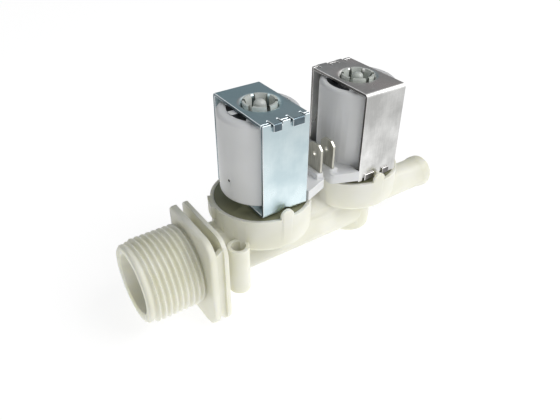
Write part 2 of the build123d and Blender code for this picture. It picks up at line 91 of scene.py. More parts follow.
# How near a rim a point counts as on it, and how near a level the middle of a face does
ON_RIM = 0.01 * MM
ON_LEVEL = 0.05 * MM

# Share of a face's normal along an axis: less than this on the pocket's walls and on the sides of the
# collet's slots, and more than this on the yokes' sheared sides
POCKET_WALL_LEAN = 0.5
SLOT_SIDE_LEAN = 0.4
SHEARED_FACING = 0.9

# Points nearer than this are made one, as are faces that meet flatter than this, and edges sharper than
# this are rounded
WELD = 1e-7
FLAT = math.radians(0.5)
ROUNDED_FROM = math.radians(35)

# Angles up to which an edge shades smoothly: on the threaded body, on round pieces, on sheet and on wire
SMOOTH_BODY = math.radians(38)
SMOOTH_ROUND = math.radians(40)
SMOOTH_SHEET = math.radians(30)
SMOOTH_WIRE = math.radians(75)

# Distances from a coil's axis beyond which lie the yoke's sheared edges and its crimped tongues
YOKE_EDGE_X = 7.85 * MM
CRIMP_Y = 13.62 * MM

# Pocket in the top of a coil, inside its rim, and the mark that the mould's gate left on its side
POCKET_FLOOR_Z = 44.95 * MM
POCKET_R = 9.85 * MM
GATE_MARK_Z = 26.3 * MM
GATE_MARK_R = 0.4 * MM

# Height up to which a guide tube cover is the disc that lies on its black diaphragm, painted dark olive as
# shade under the coil, and its collet's floor
COVER_DISC_TOP_Z = 17.0 * MM
COLLET_FLOOR_Z = 43.0 * MM

# Radius and depth of the inlet's mouth, whose thin wall lets light through; its faces are given a brighter,
# warmer colour, which is painted light
MOUTH_R = 10.2 * MM
MOUTH_DEPTH = 9.5 * MM

# Inlet thread, size G 3/4, right handed, from its collar to the foot of its last ridge
THREAD_MAJOR_R = 13.22 * MM
THREAD_DEPTH = 1.16 * MM
THREAD_ROOT_R = THREAD_MAJOR_R - THREAD_DEPTH
THREAD_PITCH = 1.814 * MM
THREAD_FIRST_CREST = 2.77 * MM
THREAD_START = 1.84 * MM
THREAD_END = 18.036 * MM
CREST_LAND = 0.30 * MM
FLANK_ANGLE = math.radians(27.5)

# Where round the inlet the helix meets the first crest, how much its flanks are rounded, the turns over
# which it rises and sinks at its ends, and how far its points stay from the rims there
CREST_TURN = math.radians(138.6)
FLANK_ROUNDING = 0.05
RUN_IN_TURNS = 0.6
RUN_OUT_TURNS = 0.4
RIM_GAP = 0.06 * MM

# Marks of moulding: the spark eroded grain is finer than this, and is drawn this coarse to show
MOULD_CLOUD = 14 * MM
MOULD_SHEEN = 5 * MM
MOULD_GRAIN = 0.35 * MM
MOULD_GRAIN_DEPTH = 0.012 * MM
MOULD_ROUGHNESS_SWING = 0.05
PLASTIC_IOR = 1.53
PLASTIC_GLOW = (1.0, 0.97, 0.72)

# Marks of plated sheet: the rolling lines and specks are finer than this, and are drawn this coarse to show
PLATE_CLOUD = 9 * MM
PLATE_STREAK = 0.45 * MM
PLATE_SPECK = 0.5 * MM
PLATE_SPECK_SHARE = 0.6
PLATE_SCRATCH = 0.9 * MM
PLATE_SCRATCH_CUT = 0.5
PLATE_SCRATCH_ROUGHNESS = 0.10
PLATE_ROUGHNESS_FALL, PLATE_ROUGHNESS_RISE = 0.05, 0.08
PLATE_RELIEF = 0.005 * MM

# Depth of the marks on plain metal, and the dusty grain of pressed rubber, which is drawn coarse to show
METAL_RELIEF = 0.004 * MM
RUBBER_GRAIN = 0.4 * MM
RUBBER_GRAIN_DEPTH = 0.02 * MM

# Scales along X, Y and Z that draw out rolling lines, scratches and the lines of plain metal along Z
ROLLED_LONG = (1, 1, 0.05)
SCRATCH_LONG = (1, 1, 0.12)
LINE_LONG = (1, 1, 0.15)

# Values of the marks between which clouds and fine lines go from one tone to the other, and a scratch begins
CLOUD_SPAN = (0.35, 0.65)
LINE_SPAN = (0.3, 0.7)
SCRATCH_SPAN = (0.66, 0.72)

# Pitch of the wire's turns in its finish, and the distance between the wave texture's bands at scale 1
WIRE_PITCH = 0.25 * MM
WAVE_LENGTH = math.pi / 10

# Studio camera, matched to the photograph's view
PHOTO_WIDTH = 560
FOCAL_PIXELS = 550.42
SENSOR_MM = 36.0
CAMERA_PLACE = (-32.59 * MM, -123.23 * MM, 114.36 * MM)
CAMERA_AZIMUTH = -34.757
CAMERA_ELEVATION = 35.974
CAMERA_ROLL = 0.623
CAMERA_SHIFT = (0.0021, 0.0037)
CAMERA_REACH = (1 * MM, 10.0)

# The key light stands to the right in front of the valve and above it, and is aimed at this height on it
KEY_PLACE = (0.50, -0.46, 0.78)
KEY_AIM_Z = 10 * MM

# The lit table: half its side, how much of it the camera sees as light and as lit surface, and the distances
# from the valve between which the light that metal mirrors of it falls off, with its strength at each
TABLE_HALF = 1.5
TABLE_SHOWN_LIGHT = 0.84
TABLE_SHOWN_SURFACE = 0.28
TABLE_FADE_SPAN = (50 * MM, 150 * MM)
TABLE_FADE_LIGHT = (1.3, 0.66)

# The side of the room from which little light comes, and where a grey card stands that the top plates mirror,
# cooler on its left half: each with the span of nearness or of direction over which it begins
DARK_SIDE = (-0.55, 0.66, 0.42)
DARK_SIDE_SPAN = (-0.2, 0.8)
GREY_CARD = (0.488, 0.766, 0.418)
GREY_CARD_SPAN = (0.68, 0.92)
CARD_HALVES_SPAN = (0.50, 0.62)


def linear(hex_colour):
    """A linear RGBA colour from an sRGB hex value."""
    values = [int(hex_colour[i:i + 2], 16) / 255 for i in (1, 3, 5)]
    return [v / 12.92 if v <= 0.04045 else ((v + 0.055) / 1.055) ** 2.4 for v in values] + [1.0]


def add(tree, kind, settings=None, links=None):
    """Adds a node, sets its properties and sockets, and links its inputs.

    A node given as a source stands for its first output.
    """
    node = tree.nodes.new(kind)
    for key, value in (settings or {}).items():
        if isinstance(key, str) and hasattr(node, key):
            setattr(node, key, value)
        else:
            node.inputs[key].default_value = value
    for key, source in (links or {}).items():
        socket = source if isinstance(source, bpy.types.NodeSocket) else source.outputs[0]
        tree.links.new(socket, node.inputs[key])
    return node


def empty_material(name):
    """A material without nodes but its Object coordinates."""
    material = bpy.data.materials.new(name)
    material.use_nodes = True
    tree = material.node_tree
    tree.nodes.clear()
    return material, tree, add(tree, "ShaderNodeTexCoord").outputs["Object"]


def marks(tree, place, size, detail=3.0, stretch=(1, 1, 1)):
    """Marks of about that size in metres, drawn out along an axis where that is asked."""
    drawn_out = add(tree, "ShaderNodeMapping", {"Scale": stretch}, {"Vector": place})
    return add(tree, "ShaderNodeTexNoise", {"Scale": 1 / size, "Detail": detail}, {"Vector": drawn_out})


def spread(tree, value, span, onto=(0.0, 1.0)):
    """A value whose span is laid onto another and held at its ends."""
    return add(tree, "ShaderNodeMapRange", {
        "From Min": span[0], "From Max": span[1], "To Min": onto[0], "To Max": onto[1],
    }, {"Value": value})


def times_plus(tree, value, factor, more):
    """A value times a factor, plus another value."""
    return add(tree, "ShaderNodeMath", {"operation": "MULTIPLY_ADD", 1: factor}, {0: value, 2: more})


def between(tree, factor, first, second):
    """A colour between two colours."""
    return add(tree, "ShaderNodeMix", {"data_type": "RGBA", 6: first, 7: second}, {0: factor}).outputs[2]


def relief(tree, height, depth):
    """A bump of that depth in metres, from a height between 0 and 1."""
    return add(tree, "ShaderNodeBump", {"Strength": 1.0, "Distance": depth}, {"Height": height})


def moulded_plastic(name, light, shade, roughness, scatter, depth):
    """Injection moulded thermoplastic: faint cloudy colour, satin skin and a fine spark eroded texture.

    Light enters it to about that depth, so thick unpigmented walls glow in their own colour.
    """
    material, tree, place = empty_material(name)
    cloud = spread(tree, marks(tree, place, MOULD_CLOUD, 2.0), CLOUD_SPAN)
    swing = (roughness - MOULD_ROUGHNESS_SWING, roughness + MOULD_ROUGHNESS_SWING)
    skin = add(tree, "ShaderNodeBsdfPrincipled", {
        "IOR": PLASTIC_IOR,
        "Subsurface Weight": scatter,
        "Subsurface Radius": PLASTIC_GLOW,
        "Subsurface Scale": depth,
    }, {
        "Base Color": between(tree, cloud, light, shade),
        "Roughness": spread(tree, marks(tree, place, MOULD_SHEEN), LINE_SPAN, swing),
        "Normal": relief(tree, marks(tree, place, MOULD_GRAIN, 4.0), MOULD_GRAIN_DEPTH),
    })
    add(tree, "ShaderNodeOutputMaterial", links={"Surface": skin})
    return material


def zinc_plate(name, light, shade, roughness, streaks):
    """Cold rolled sheet with bright zinc plating: streaks along the rolling, soft clouds of passivation
    and fine handling scratches, which are rougher than the plating round them."""
    material, tree, place = empty_material(name)
    cloud = spread(tree, marks(tree, place, PLATE_CLOUD), CLOUD_SPAN)
    rolled = marks(tree, place, PLATE_STREAK, 6.0, ROLLED_LONG)
    specks = marks(tree, place, PLATE_SPECK, 5.0)
    scratch = spread(tree, marks(tree, place, PLATE_SCRATCH, 2.0, SCRATCH_LONG), SCRATCH_SPAN)
    streaked = times_plus(tree, rolled, streaks, cloud)
    flecked = times_plus(tree, specks, streaks * PLATE_SPECK_SHARE, streaked)
    # Streakier sheet reaches its full tone later, and the tops of the clouds lie past that end and stay even
    tone = spread(tree, flecked, (0.5 * streaks, 0.8 + 1.1 * streaks))
    dulling = (roughness - PLATE_ROUGHNESS_FALL, roughness + PLATE_ROUGHNESS_RISE)
    sheen = spread(tree, tone, (0.0, 1.0), dulling)
    plate = add(tree, "ShaderNodeBsdfPrincipled", {"Metallic": 1.0}, {
        "Base Color": between(tree, tone, light, shade),
        "Roughness": times_plus(tree, scratch, PLATE_SCRATCH_ROUGHNESS, sheen),
        "Normal": relief(tree, times_plus(tree, scratch, -PLATE_SCRATCH_CUT, rolled), PLATE_RELIEF),
    })
    add(tree, "ShaderNodeOutputMaterial", links={"Surface": plate})
    return material


def plain_metal(name, light, shade, roughness, mark_size):
    """A drawn, stamped or ground metal with fine marks along it."""
    material, tree, place = empty_material(name)
    lines = marks(tree, place, mark_size, 4.0, LINE_LONG)
    metal = add(tree, "ShaderNodeBsdfPrincipled", {"Metallic": 1.0, "Roughness": roughness}, {
        "Base Color": between(tree, spread(tree, lines, LINE_SPAN), light, shade),
        "Normal": relief(tree, lines, METAL_RELIEF),
    })
    add(tree, "ShaderNodeOutputMaterial", links={"Surface": metal})
    return material


def wound_wire(name, light, shade, pitch):
    """Enamelled copper wire wound in close turns: each turn is a round rib with a clear amber coat, and its
    colour darkens between the turns as painted shade.
    """
    material, tree, place = empty_material(name)
    turns = add(tree, "ShaderNodeTexWave", {
        "wave_type": "BANDS", "bands_direction": "Z", "Scale": WAVE_LENGTH / pitch, "Distortion": 0.15,
    }, {"Vector": place}).outputs["Fac"]
    # The colour goes dark between the turns, which is painted shade
    wire = add(tree, "ShaderNodeBsdfPrincipled", {
        "Metallic": 1.0, "Roughness": 0.32, "Coat Weight": 0.6, "Coat Roughness": 0.12,
    }, {"Base Color": between(tree, turns, shade, light), "Normal": relief(tree, turns, pitch / 3)})
    add(tree, "ShaderNodeOutputMaterial", links={"Surface": wire})
    return material


def pressed_rubber(name, light, shade):
    """Pressed rubber: matt, with a fine dusty grain."""
    material, tree, place = empty_material(name)
    grain = marks(tree, place, RUBBER_GRAIN, 4.0)
    rubber = add(tree, "ShaderNodeBsdfPrincipled", {"Roughness": 0.75}, {
        "Base Color": between(tree, grain, light, shade),
        "Normal": relief(tree, grain, RUBBER_GRAIN_DEPTH),
    })
    add(tree, "ShaderNodeOutputMaterial", links={"Surface": rubber})
    return material


def moulded_finishes(colours):
    """The plastics and the rubber, by slot or by the place where one shows otherwise."""
    return {
        # Polyamide 66 in its natural ivory, satin from the mould, and glowing a little in its thick walls
        "body_plastic": moulded_plastic(
            "polyamide_natural_moulded", colours.body, linear("#E4E3D3"), 0.40, 0.50, 2.2 * MM),
        # The same wall seen from within the mouth: it scatters light more deeply, and its brighter, warmer
        # colour is painted light for the light that comes through it
        "mouth_wall_painted_light": moulded_plastic(
            "polyamide_natural_lit_through_painted_light", linear("#FBF6DC"), linear("#F7F0CB"), 0.40, 1.00, 11.0 * MM),
        # Polyamide in a cold grey white, smoother than the body and hardly lit from within
        "guide_plastic": moulded_plastic(
            "polyamide_grey_white_moulded", colours.guide, linear("#C5CAC4"), 0.30, 0.10, 0.5 * MM),
        # The same moulding deep in the collet's slots, darkened there as painted shade
        "collet_slot_shade": moulded_plastic(
            "polyamide_grey_white_painted_slot_shade", linear("#7A7F79"), linear("#6D726B"), 0.45, 0.05, 0.3 * MM),
        # The same moulding on the disc under the coil, in a dark olive that is painted shade
        "cover_disc_shade": moulded_plastic(
            "polyamide_painted_shade_under_coil", linear("#8F8F72"), linear("#7C7C62"), 0.42, 0.10, 0.6 * MM),
        # Polyester with white pigment, which hides the winding under it, with a soft shine
        "coil_plastic": moulded_plastic(
            "polyester_white_overmoulded", colours.coil, linear("#D9DADB"), 0.34, 0.12, 0.6 * MM),
        # A dark colour on the small round mark of the mould's gate
        "gate_scar": moulded_plastic(
            "polyester_gate_scar", linear("#4A4744"), linear("#3A3835"), 0.60, 0.02, 0.1 * MM),
        # Polypropylene, white and a little waxy
        "strainer_plastic": moulded_plastic(
            "polypropylene_white_moulded", linear("#E9E8E0"), linear("#DFDFD4"), 0.45, 0.40, 1.2 * MM),
        # Acetal, a dense white with a hard, slippery shine
        "insert_plastic": moulded_plastic(
            "acetal_white_moulded", linear("#E4E4E0"), linear("#DADAD4"), 0.35, 0.15, 0.8 * MM),
        # Polyamide with glass fibres, dark grey and dull where they reach the skin; on the coils' pocket
        # floors and walls this colour is partly painted shade under the top plates
        "bobbin_plastic": moulded_plastic(
            "polyamide_glass_filled_and_pocket_shade", linear("#43474A"), linear("#383B3E"), 0.55, 0.02, 0.2 * MM),
        # Black synthetic rubber, matt with a dusty bloom
        "rubber": pressed_rubber("epdm_rubber_pressed", linear("#1C1C1D"), linear("#2A2A2A")),
    }


def metal_finishes(colours):
    """The metals, by slot or by the place where one shows otherwise."""
    return {
        # Magnetic stainless steel, ground bright with faint lines
        "plunger_steel": plain_metal(
            "ferritic_stainless_ground", linear("#B9B9B6"), linear("#8F8F8C"), 0.30, 0.6 * MM),
        # Hard drawn wire, smooth and bright
        "spring_steel": plain_metal(
            "spring_wire_drawn", linear("#C4C4C2"), linear("#96968F"), 0.28, 0.3 * MM),
        # Copper wire under amber enamel, with painted shade between its turns
        "copper_wire": wound_wire("copper_wire_enamelled", linear("#C27A3C"), linear("#7A3D1B"), WIRE_PITCH),
        # Brass strip under tin, a soft silver with a trace of yellow
        "tinned_tab": plain_metal(
            "brass_strip_tin_plated", linear("#D8D7CC"), linear("#B8B6AA"), 0.32, 0.7 * MM),
        # Steel sheet under zinc: blue and even on the first valve, neutral and streaky on the second
        "zinc_steel_1": zinc_plate(
            "steel_sheet_zinc_blue_passivated", colours.first_yoke, linear("#C6D8DD"), 0.30, 0.35),
        "zinc_steel_2": zinc_plate(
            "steel_sheet_zinc_plated", colours.second_yoke, linear("#CBCBC9"), 0.30, 0.7),
        # The same sheets on their sheared faces and crimped ends: duller than the rolled faces, and darker,
        # partly as bare sheared steel is and partly as painted shade in the crimps and along the edges
        "zinc_edge_1": zinc_plate(
            "steel_sheet_sheared_edge_blue", linear("#84939A"), linear("#5A6870"), 0.36, 0.5),
        "zinc_edge_2": zinc_plate(
            "steel_sheet_sheared_edge_and_painted_shade", linear("#8F8D8C"), linear("#605E5D"), 0.36, 0.5),
        # The same sheets on their rounded corners, in a brighter colour that is a painted highlight
        "zinc_rim_1": zinc_plate(
            "steel_sheet_rubbed_corner_blue", linear("#F4F8FA"), linear("#DEE7EA"), 0.24, 0.3),
        "zinc_rim_2": zinc_plate(
            "steel_sheet_corner_painted_highlight", linear("#F6F5F4"), linear("#E0DEDC"), 0.24, 0.3),
    }


def finish_named(slot):
    """The material made for a slot or a place."""
    return bpy.data.materials[bpy.context.scene["valve_materials"][slot]]


def finish(node):
    """The material of a node's own slot."""
    return finish_named(SLOTS[node])


def paint(obj, *materials):
    """Gives an object those materials, the first of them on every face."""
    obj.data.materials.clear()
    for material in materials:
        obj.data.materials.append(material)


def repaint(obj, number, chosen):
    """Gives the chosen faces the material of that number."""
    for face in obj.data.polygons:
        if chosen(face):
            face.material_index = number


def welded(node):
    """A CAD node's faces with its doubled points merged, and flat faces joined."""
    work = bmesh.new()
    work.from_mesh(NODES[node].data)
    bmesh.ops.remove_doubles(work, verts=work.verts, dist=WELD)
    bmesh.ops.dissolve_limit(
        work, angle_limit=FLAT, use_dissolve_boundaries=False, verts=work.verts, edges=work.edges)
    return work


def placed(work, name):
    """A new object with that bmesh's faces."""
    mesh = bpy.data.meshes.new(name)
    work.to_mesh(mesh)
    work.free()
    obj = bpy.data.objects.new(name, mesh)
    bpy.context.scene.collection.objects.link(obj)
    return obj


def settle(obj, node):
    """Puts a finished piece on the housing, in the place of a CAD node."""
    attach(obj, HOUSING)
    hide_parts(node)


def smooth(obj, angle):
    """Smooth shading across edges flatter than that angle."""
    for polygon in obj.data.polygons:
        polygon.use_smooth = True
    obj.data.set_sharp_from_angle(angle=angle)


def soften(obj, width, material=-1):
    """Small rounded edges as a real modifier, in the material of that number or in that of their faces."""
    bevel = obj.modifiers.new("edge_round", "BEVEL")
    bevel.width = width
    bevel.segments = 2
    bevel.limit_method = "ANGLE"
    bevel.angle_limit = ROUNDED_FROM
    bevel.use_clamp_overlap = False
    bevel.harden_normals = True
    bevel.material = material


def flattening(node, name):
    """A welded, smooth shaded copy of a CAD node in its own finish, put in the node's place."""
    obj = placed(welded(node), name)
    paint(obj, finish(node))
    smooth(obj, SMOOTH_ROUND)
    settle(obj, node)
    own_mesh(obj)


def in_mouth(face):
    """Whether a face of the body lines the inlet's mouth."""
    return face.center.x < MOUTH_DEPTH and math.hypot(face.center.y, face.center.z) < MOUTH_R


def in_pocket(face, n):
    """Whether a face of a coil is the floor or a wall of the pocket in its top."""
    inside = math.hypot(face.center.x - COIL_X[n], face.center.y) < POCKET_R
    floor = abs(face.center.z - POCKET_FLOOR_Z) < ON_LEVEL
    wall = face.center.z > POCKET_FLOOR_Z and abs(face.normal.z) < POCKET_WALL_LEAN
    return inside and (floor or wall)


def on_gate_mark(face):
    """Whether a face of a coil belongs to the small round mark of the mould's gate."""
    return abs(face.center.z - GATE_MARK_Z) < GATE_MARK_R and face.area < 4 * GATE_MARK_R ** 2


def on_cover_disc(face):
    """Whether a face of a guide tube cover belongs to its disc."""
    return face.center.z < COVER_DISC_TOP_Z


def in_collet_slot(face, n):
    """Whether a face of a guide tube cover is the floor or a side of a slot in its collet."""
    outward = Vector((face.center.x - COIL_X[n], face.center.y, 0)).normalized()
    side = abs(face.normal.dot(outward)) < SLOT_SIDE_LEAN and abs(face.normal.z) < SLOT_SIDE_LEAN
    floor = face.center.z < COLLET_FLOOR_Z + ON_LEVEL
    return face.center.z > COLLET_FLOOR_Z - ON_LEVEL and (side or floor)


def sheared_or_crimped(face, n):
    """Whether a face of a yoke is a sheared side or belongs to a crimped tongue."""
    sheared = abs(face.normal.x) > SHEARED_FACING and abs(face.center.x - COIL_X[n]) > YOKE_EDGE_X
    return sheared or abs(face.center.y) > CRIMP_Y


def dress_coil(n, edge):
    """The white overmoulding, with the bobbin's dark colour on the floor and walls of its pocket, partly the
    dark bobbin showing there and partly painted shade under the top plate, and the mark of the mould's gate.
    """
    node = f"coil_cover_{n}"
    coil = placed(welded(node), f"overmoulded_coil_{n}")
    paint(coil, finish(node), finish(f"coil_bobbin_{n}"), finish_named("gate_scar"))
    # The pocket's floor and walls take the bobbin's dark colour, which is partly painted shade
    repaint(coil, 1, lambda face: in_pocket(face, n))
    repaint(coil, 2, on_gate_mark)
    smooth(coil, SMOOTH_ROUND)
    soften(coil, edge)
    settle(coil, node)


def dress_cover(n):
    """The cover with its guide tube, with painted shade: dark olive on its disc under the coil and dark in
    the collet's slots.
    """
    node = f"guide_tube_cover_{n}"
    cover = placed(welded(node), f"moulded_guide_tube_{n}")
    paint(cover, finish(node), finish_named("cover_disc_shade"), finish_named("collet_slot_shade"))
    # The disc takes the dark olive colour, which is painted shade under the coil
    repaint(cover, 1, on_cover_disc)
    # The collet's slots take the dark colour, which is painted shade
    repaint(cover, 2, lambda face: in_collet_slot(face, n))
    smooth(cover, SMOOTH_ROUND)
    settle(cover, node)


def dress_yoke_half(kind, n, edge):
    """A bent sheet, duller and darker on its sheared sides and crimped tongues, partly as painted shade, and
    with a painted highlight on its rounded corners.
    """
    node = f"{kind}_{n}"
    yoke = placed(welded(node), f"bent_{node}")
    paint(yoke, *(finish_named(f"{place}_{n}") for place in ("zinc_steel", "zinc_edge", "zinc_rim")))
    # Sheared sides and crimped tongues take the darker colour, which is partly painted shade
    repaint(yoke, 1, lambda face: sheared_or_crimped(face, n))
    smooth(yoke, SMOOTH_SHEET)
    # The rounded corners take the bright colour, which is a painted highlight
    soften(yoke, edge, material=2)
    settle(yoke, node)


def dress_tab(kind, n, edge):
    """A stamped terminal tab with its edges broken."""
    node = f"{kind}_{n}"
    tab = placed(welded(node), f"stamped_{node}")
    paint(tab, finish(node))
    smooth(tab, SMOOTH_SHEET)
    soften(tab, edge)
    settle(tab, node)


def wire_turns():
    """A node group that winds a wire into a close helix and gives it one material."""
    group = bpy.data.node_groups.new("wire_turns", "GeometryNodeTree")
    names = {}
    for name, kind in (
        ("Turns", "NodeSocketFloat"),
        ("Radius", "NodeSocketFloat"),
        ("Height", "NodeSocketFloat"),
        ("Wire radius", "NodeSocketFloat"),
        ("Steps per turn", "NodeSocketInt"),
        ("Material", "NodeSocketMaterial"),
    ):
        names[name] = group.interface.new_socket(name, in_out="INPUT", socket_type=kind)
    group.interface.new_socket("Geometry", in_out="OUTPUT", socket_type="NodeSocketGeometry")
    given = add(group, "NodeGroupInput").outputs
    spiral = add(group, "GeometryNodeCurveSpiral", links={
        "Resolution": given["Steps per turn"], "Rotations": given["Turns"], "Height": given["Height"],
        "Start Radius": given["Radius"], "End Radius": given["Radius"]})
    section = add(group, "GeometryNodeCurvePrimitiveCircle", {"Resolution": 6}, {
        "Radius": given["Wire radius"]})
    wire = add(group, "GeometryNodeCurveToMesh", {"Fill Caps": True}, {
        "Curve": spiral, "Profile Curve": section})
    real = add(group, "GeometryNodeRealizeInstances", links={0: wire})
    coated = add(group, "GeometryNodeSetMaterial", links={"Geometry": real, "Material": given["Material"]})
    add(group, "NodeGroupOutput", links={0: coated})
    return group, {name: socket.identifier for name, socket in names.items()}


def baked(group, values, name, place):
    """The mesh that a node group makes with those values, moved to its place."""
    holder = bpy.data.objects.new(name, bpy.data.meshes.new(f"{name}_base"))
    bpy.context.scene.collection.objects.link(holder)
    nodes = holder.modifiers.new("repeat", "NODES")
    nodes.node_group = group
    for identifier, value in values.items():
        nodes[identifier] = value
    graph = bpy.context.evaluated_depsgraph_get()
    mesh = bpy.data.meshes.new_from_object(holder.evaluated_get(graph))
    holder.modifiers.remove(nodes)
    mesh.transform(Matrix.Translation(place))
    holder.data = mesh
    return holder


def thread_radius(x, turn):
    """The thread's radius at points along the inlet and round it, as arrays."""
    foot = CREST_LAND / 2 + THREAD_DEPTH * math.tan(FLANK_ANGLE)
    lead = THREAD_PITCH * (turn - CREST_TURN) / (2 * math.pi)
    step = (x - THREAD_FIRST_CREST - lead) / THREAD_PITCH
    offset = np.abs(step - np.round(step)) * THREAD_PITCH
    flank = np.clip((foot - offset) / (foot - CREST_LAND / 2), 0, 1)
    rounded = flank - FLANK_ROUNDING * np.sin(2 * math.pi * flank)
    run_in = np.clip((x - THREAD_START) / (RUN_IN_TURNS * THREAD_PITCH), 0, 1)
    run_out = np.clip((THREAD_END - x) / (RUN_OUT_TURNS * THREAD_PITCH), 0, 1)
    return THREAD_ROOT_R + THREAD_DEPTH * rounded * run_in * run_out


def is_ridge(face):
    """Whether a face of the body belongs to the plain ridges that stand for the thread."""
    radii = [math.hypot(v.co.y, v.co.z) for v in face.verts]
    spots = [v.co.x for v in face.verts]
    at_depth = min(radii) > THREAD_ROOT_R - ON_RIM and max(radii) < THREAD_MAJOR_R + ON_RIM
    return at_depth and min(spots) > THREAD_START - ON_RIM and max(spots) < THREAD_END + ON_RIM


def cut_thread(work, around, per_pitch):
    """Puts one helical thread in the place of the plain ridges of the body's inlet."""
    ridges = [face for face in work.faces if is_ridge(face)]
    bmesh.ops.delete(work, geom=ridges, context="FACES")
    rims = [edge for edge in work.edges if edge.is_boundary]
    rows = round((THREAD_END - THREAD_START) / THREAD_PITCH * per_pitch)
    x, turn = np.meshgrid(
        np.linspace(THREAD_START + RIM_GAP, THREAD_END - RIM_GAP, rows),
        np.arange(around) * 2 * math.pi / around, indexing="ij")
    radius = thread_radius(x, turn)
    points = np.stack((x, radius * np.cos(turn), radius * np.sin(turn)), axis=-1)
    grid = [[work.verts.new(point) for point in row] for row in points.tolist()]
    for low, high in zip(grid, grid[1:]):
        for j in range(around):
            work.faces.new((low[j], low[j - 1], high[j - 1], high[j]))
    for row, rim_x in ((grid[0], THREAD_START), (grid[-1], THREAD_END)):
        rim = [edge for edge in rims if abs(edge.verts[0].co.x - rim_x) < ON_RIM]
        ring = [work.edges.get((row[j], row[j - 1])) for j in range(around)]
        bmesh.ops.bridge_loops(work, edges=rim + ring)
    bmesh.ops.recalc_face_normals(work, faces=work.faces)


def tint(name, description, hex_colour):
    """A colour that a user can change."""
    return bpy.props.FloatVectorProperty(
        name=name, description=description, default=linear(hex_colour), subtype="COLOR", size=4, min=0, max=1)


class FinishSettings(bpy.types.PropertyGroup):
    """Colours of the finishes that show."""

    body: tint("Body", "Natural ivory of the moulded body", "#ECEBE0")
    guide: tint("Guide tube", "Grey white of the covers and their collets", "#D2D6D3")
    coil: tint("Coil", "White of the overmoulded coils", "#E0E1E2")
    first_yoke: tint("First yoke", "Blue zinc of the yoke beside the inlet", "#DBE9EC")
    second_yoke: tint("Second yoke", "Neutral zinc of the yoke beside the outlet", "#FAFAF8")


class PieceSettings(bpy.types.PropertyGroup):
    """Sizes of what is added to the solids."""

    thread_around: bpy.props.IntProperty(
        name="Thread divisions", description="Points round the inlet's thread", default=160, min=24)
    thread_per_pitch: bpy.props.IntProperty(
        name="Thread rows", description="Rows of points in each turn of the thread", default=14, min=6)
    wire_radius: bpy.props.FloatProperty(
        name="Wire", description="Radius of the enamelled copper wire", default=0.13 * MM, unit="LENGTH")
    wire_steps: bpy.props.IntProperty(
        name="Wire divisions", description="Points in each turn of wire", default=48, min=12)
    sheet_edge: bpy.props.FloatProperty(
        name="Sheet edge", description="Rounding of the yokes' sheared edges",
        default=0.16 * MM, unit="LENGTH")
    tab_edge: bpy.props.FloatProperty(
        name="Tab edge", description="Rounding of the stamped tabs' edges", default=0.08 * MM, unit="LENGTH")
    moulded_edge: bpy.props.FloatProperty(
        name="Moulded edge", description="Rounding of the moulded coils' edges",
        default=0.12 * MM, unit="LENGTH")


class StageSettings(bpy.types.PropertyGroup):
    """Light and backdrop of the studio."""

    table_glow: bpy.props.FloatProperty(
        name="Table glow", description="Light that the white table gives from below", default=0.51, min=0.0)
    room_light: bpy.props.FloatProperty(
        name="Room light", description="Strength of the room's soft light", default=0.58, min=0.0)
    key_power: bpy.props.FloatProperty(
        name="Key light", description="Power of the large soft key light", default=5.0, unit="POWER")
    key_size: bpy.props.FloatProperty(
        name="Key light's side", description="Side of the square key light", default=0.6, unit="LENGTH")


class VALVE_OT_housing(bpy.types.Operator):
    """Dresses the moulded body and the pieces in its bore"""

    bl_idname = "valve.housing"
    bl_label = "Housing"

    def execute(self, context):
        settings = context.scene.valve_pieces
        for node in ("inlet_strainer", "regulator_holder", "flow_regulator"):
            paint(NODES[node], finish(node))
        work = welded("valve_body")
        cut_thread(work, settings.thread_around, settings.thread_per_pitch)
        body = placed(work, "moulded_body")
        smooth(body, SMOOTH_BODY)
        paint(body, finish("valve_body"), finish_named("mouth_wall_painted_light"))
        # The faces lining the mouth take the brighter colour, which is painted light
        repaint(body, 1, in_mouth)
        settle(body, "valve_body")
        return {"FINISHED"}


class VALVE_OT_actuators(bpy.types.Operator):
    """Dresses covers, diaphragms, plungers and coils of both valves"""

    bl_idname = "valve.actuators"
    bl_label = "Actuators"

    def execute(self, context):
        for n in VALVES:
            for kind in ("diaphragm_insert", "plunger", "plunger_seal", "coil_bobbin", "coil_winding"):
                paint(NODES[f"{kind}_{n}"], finish(f"{kind}_{n}"))
            dress_coil(n, context.scene.valve_pieces.moulded_edge)
            dress_cover(n)
            flattening(
                f"plunger_spring_{n}", f"return_spring_{n}")
            flattening(
                f"diaphragm_{n}", f"rubber_diaphragm_{n}")
        return {"FINISHED"}


class VALVE_OT_windings(bpy.types.Operator):
    """Winds the outer layer of wire round both coils' windings"""

    bl_idname = "valve.windings"
    bl_label = "Windings"

    def execute(self, context):
        settings = context.scene.valve_pieces
        wire = settings.wire_radius
        group, sockets = wire_turns()
        for n in VALVES:
            low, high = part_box(f"coil_winding_{n}")
            height = high.z - low.z - 2 * wire
            turns = baked(group, {
                sockets["Turns"]: height / (2 * wire),
                sockets["Radius"]: (high.x - low.x) / 2 - wire / 2,
                sockets["Height"]: height,
                sockets["Wire radius"]: wire,
                sockets["Steps per turn"]: settings.wire_steps,
                sockets["Material"]: finish(f"coil_winding_{n}"),
            }, f"wire_layer_{n}", Vector((COIL_X[n], 0, low.z + wire)))
            smooth(turns, SMOOTH_WIRE)
            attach(turns, HOUSING)
        return {"FINISHED"}


class VALVE_OT_sheet_metal(bpy.types.Operator):
    """Gives the yokes and the terminal tabs their rolled faces and sheared edges"""

    bl_idname = "valve.sheet_metal"
    bl_label = "Sheet metal"

    def execute(self, context):
        settings = context.scene.valve_pieces
        for n in VALVES:
            for kind in ("yoke_upper", "yoke_lower"):
                dress_yoke_half(kind, n, settings.sheet_edge)
            for kind in ("terminal_tab_front", "terminal_tab_rear"):
                dress_tab(kind, n, settings.tab_edge)
        return {"FINISHED"}


